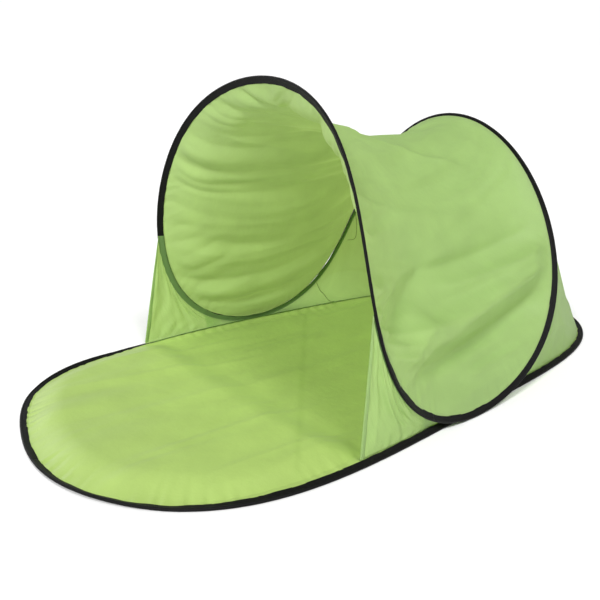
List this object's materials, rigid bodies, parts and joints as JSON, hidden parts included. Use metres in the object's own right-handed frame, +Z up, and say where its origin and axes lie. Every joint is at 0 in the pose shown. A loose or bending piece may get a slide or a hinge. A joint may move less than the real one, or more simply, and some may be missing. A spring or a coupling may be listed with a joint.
{
  "type": "pop up tent",
  "caption": "Pop up tent: a sprung wire hoop and a floor loop in black binding carry a green cloth roof, rear wall and side skirts, with an open front over a long rounded floor.",
  "frame": {"origin": "centre of the whole tent's footprint, on the ground", "axes": "+Z up, -Y out of the open front, +X to the left hand of someone inside looking out"},
  "size_m": [1.0554, 1.9982, 0.8842],
  "materials": {
    "green_cloth": "thin coated polyester, slightly translucent",
    "green_hem": "folded hem of the same cloth",
    "black_binding": "woven tape",
    "spring_steel": "drawn wire",
    "ferrule_metal": "crimped",
    "tie_cord": "thin twisted cord"
  },
  "bodies": {
    "floor_front": {"floor_sheet_front": "green_cloth", "floor_binding_front": "black_binding", "floor_wire_front": "spring_steel", "skirt_left": "green_cloth", "skirt_right": "green_cloth", "skirt_hem_left": "green_hem", "skirt_hem_right": "green_hem"},
    "front_arch": {"arch_binding_front": "black_binding", "arch_wire_front": "spring_steel"},
    "rear_shell": {"arch_binding_rear": "black_binding", "arch_wire_rear": "spring_steel", "arch_ferrule": "ferrule_metal", "floor_binding_rear": "black_binding", "floor_wire_rear": "spring_steel", "floor_ferrule": "ferrule_metal", "floor_sheet_rear": "green_cloth", "canopy": "green_cloth", "rear_wall": "green_cloth", "arch_cord": "tie_cord", "wall_cord": "tie_cord"}
  },
  "joints": [
    {"name": "rear_fold", "type": "hinge", "parent": "floor_front", "child": "rear_shell", "pos_m": [0, -0.15, 0.05], "axis": [1, 0, 0], "range_deg": [0, 97], "stiffness_Nm_per_rad": 0.5, "springref_deg": -28.65, "deforming": ["canopy"]},
    {"name": "front_arch_fold", "type": "hinge", "parent": "floor_front", "child": "front_arch", "pos_m": [0, -0.15, 0.05], "axis": [1, 0, 0], "range_deg": [0, 46.5], "deforming": ["skirt_left", "skirt_right", "skirt_hem_left", "skirt_hem_right"]}
  ],
  "couplings": [
    {"joint": "front_arch_fold", "follows": "rear_fold", "ratio": 0.475}
  ]
}
